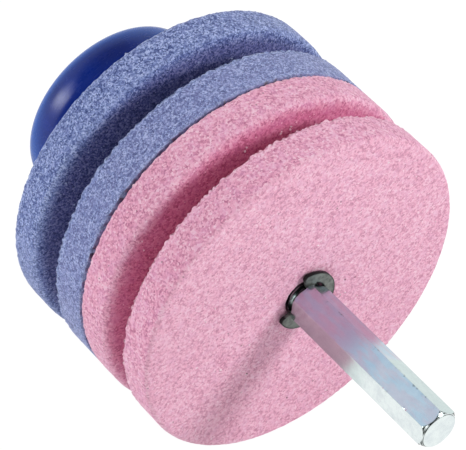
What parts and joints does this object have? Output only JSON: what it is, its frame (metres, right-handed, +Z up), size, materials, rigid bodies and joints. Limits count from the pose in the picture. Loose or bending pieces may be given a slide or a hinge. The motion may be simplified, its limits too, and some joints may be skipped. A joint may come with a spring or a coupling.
{
  "type": "rotary sharpening stone",
  "caption": "Grooved abrasive wheels clamped on a hexagonal drill shank, with a free-turning guide knob, for grinding blades and tool edges.",
  "frame": {"origin": "on the spin axis, midway between the tip of the shank and the crown of the knob", "axes": "+Y along the spin axis from the shank towards the knob, so the shank points along -Y; +Z is up as the tool lies on the rims of its wheels"},
  "size_m": [0.0562, 0.0854, 0.0562],
  "materials": {
    "plated_steel": "bright plated, smooth",
    "dark_spring_steel": "dark phosphate, dull",
    "pink_abrasive": "sintered grain, matte",
    "blue_abrasive": "sintered grain, matte",
    "fibre_board": "matte",
    "white_nylon": "satin",
    "blue_plastic": "glossy, moulded"
  },
  "bodies": {
    "stone_spindle": {"drive_shaft": "plated_steel", "front_retaining_clip": "dark_spring_steel", "fine_stone": "pink_abrasive", "coarse_stone": "blue_abrasive", "rear_blotter": "fibre_board", "clamp_washer": "plated_steel", "spring_washer": "plated_steel", "clamp_nut": "plated_steel", "nut_thrust_washer": "white_nylon", "end_thrust_washer": "white_nylon", "end_retaining_clip": "dark_spring_steel"},
    "guide_knob": {"knob_shell": "blue_plastic", "knob_front_bush": "white_nylon", "knob_rear_bush": "white_nylon", "knob_end_cap": "blue_plastic"}
  },
  "joints": [
    {"name": "knob_spin", "type": "hinge", "parent": "stone_spindle", "child": "guide_knob", "pos_m": [0, 0.03397, 0], "axis": [0, 1, 0], "continuous": true}
  ]
}
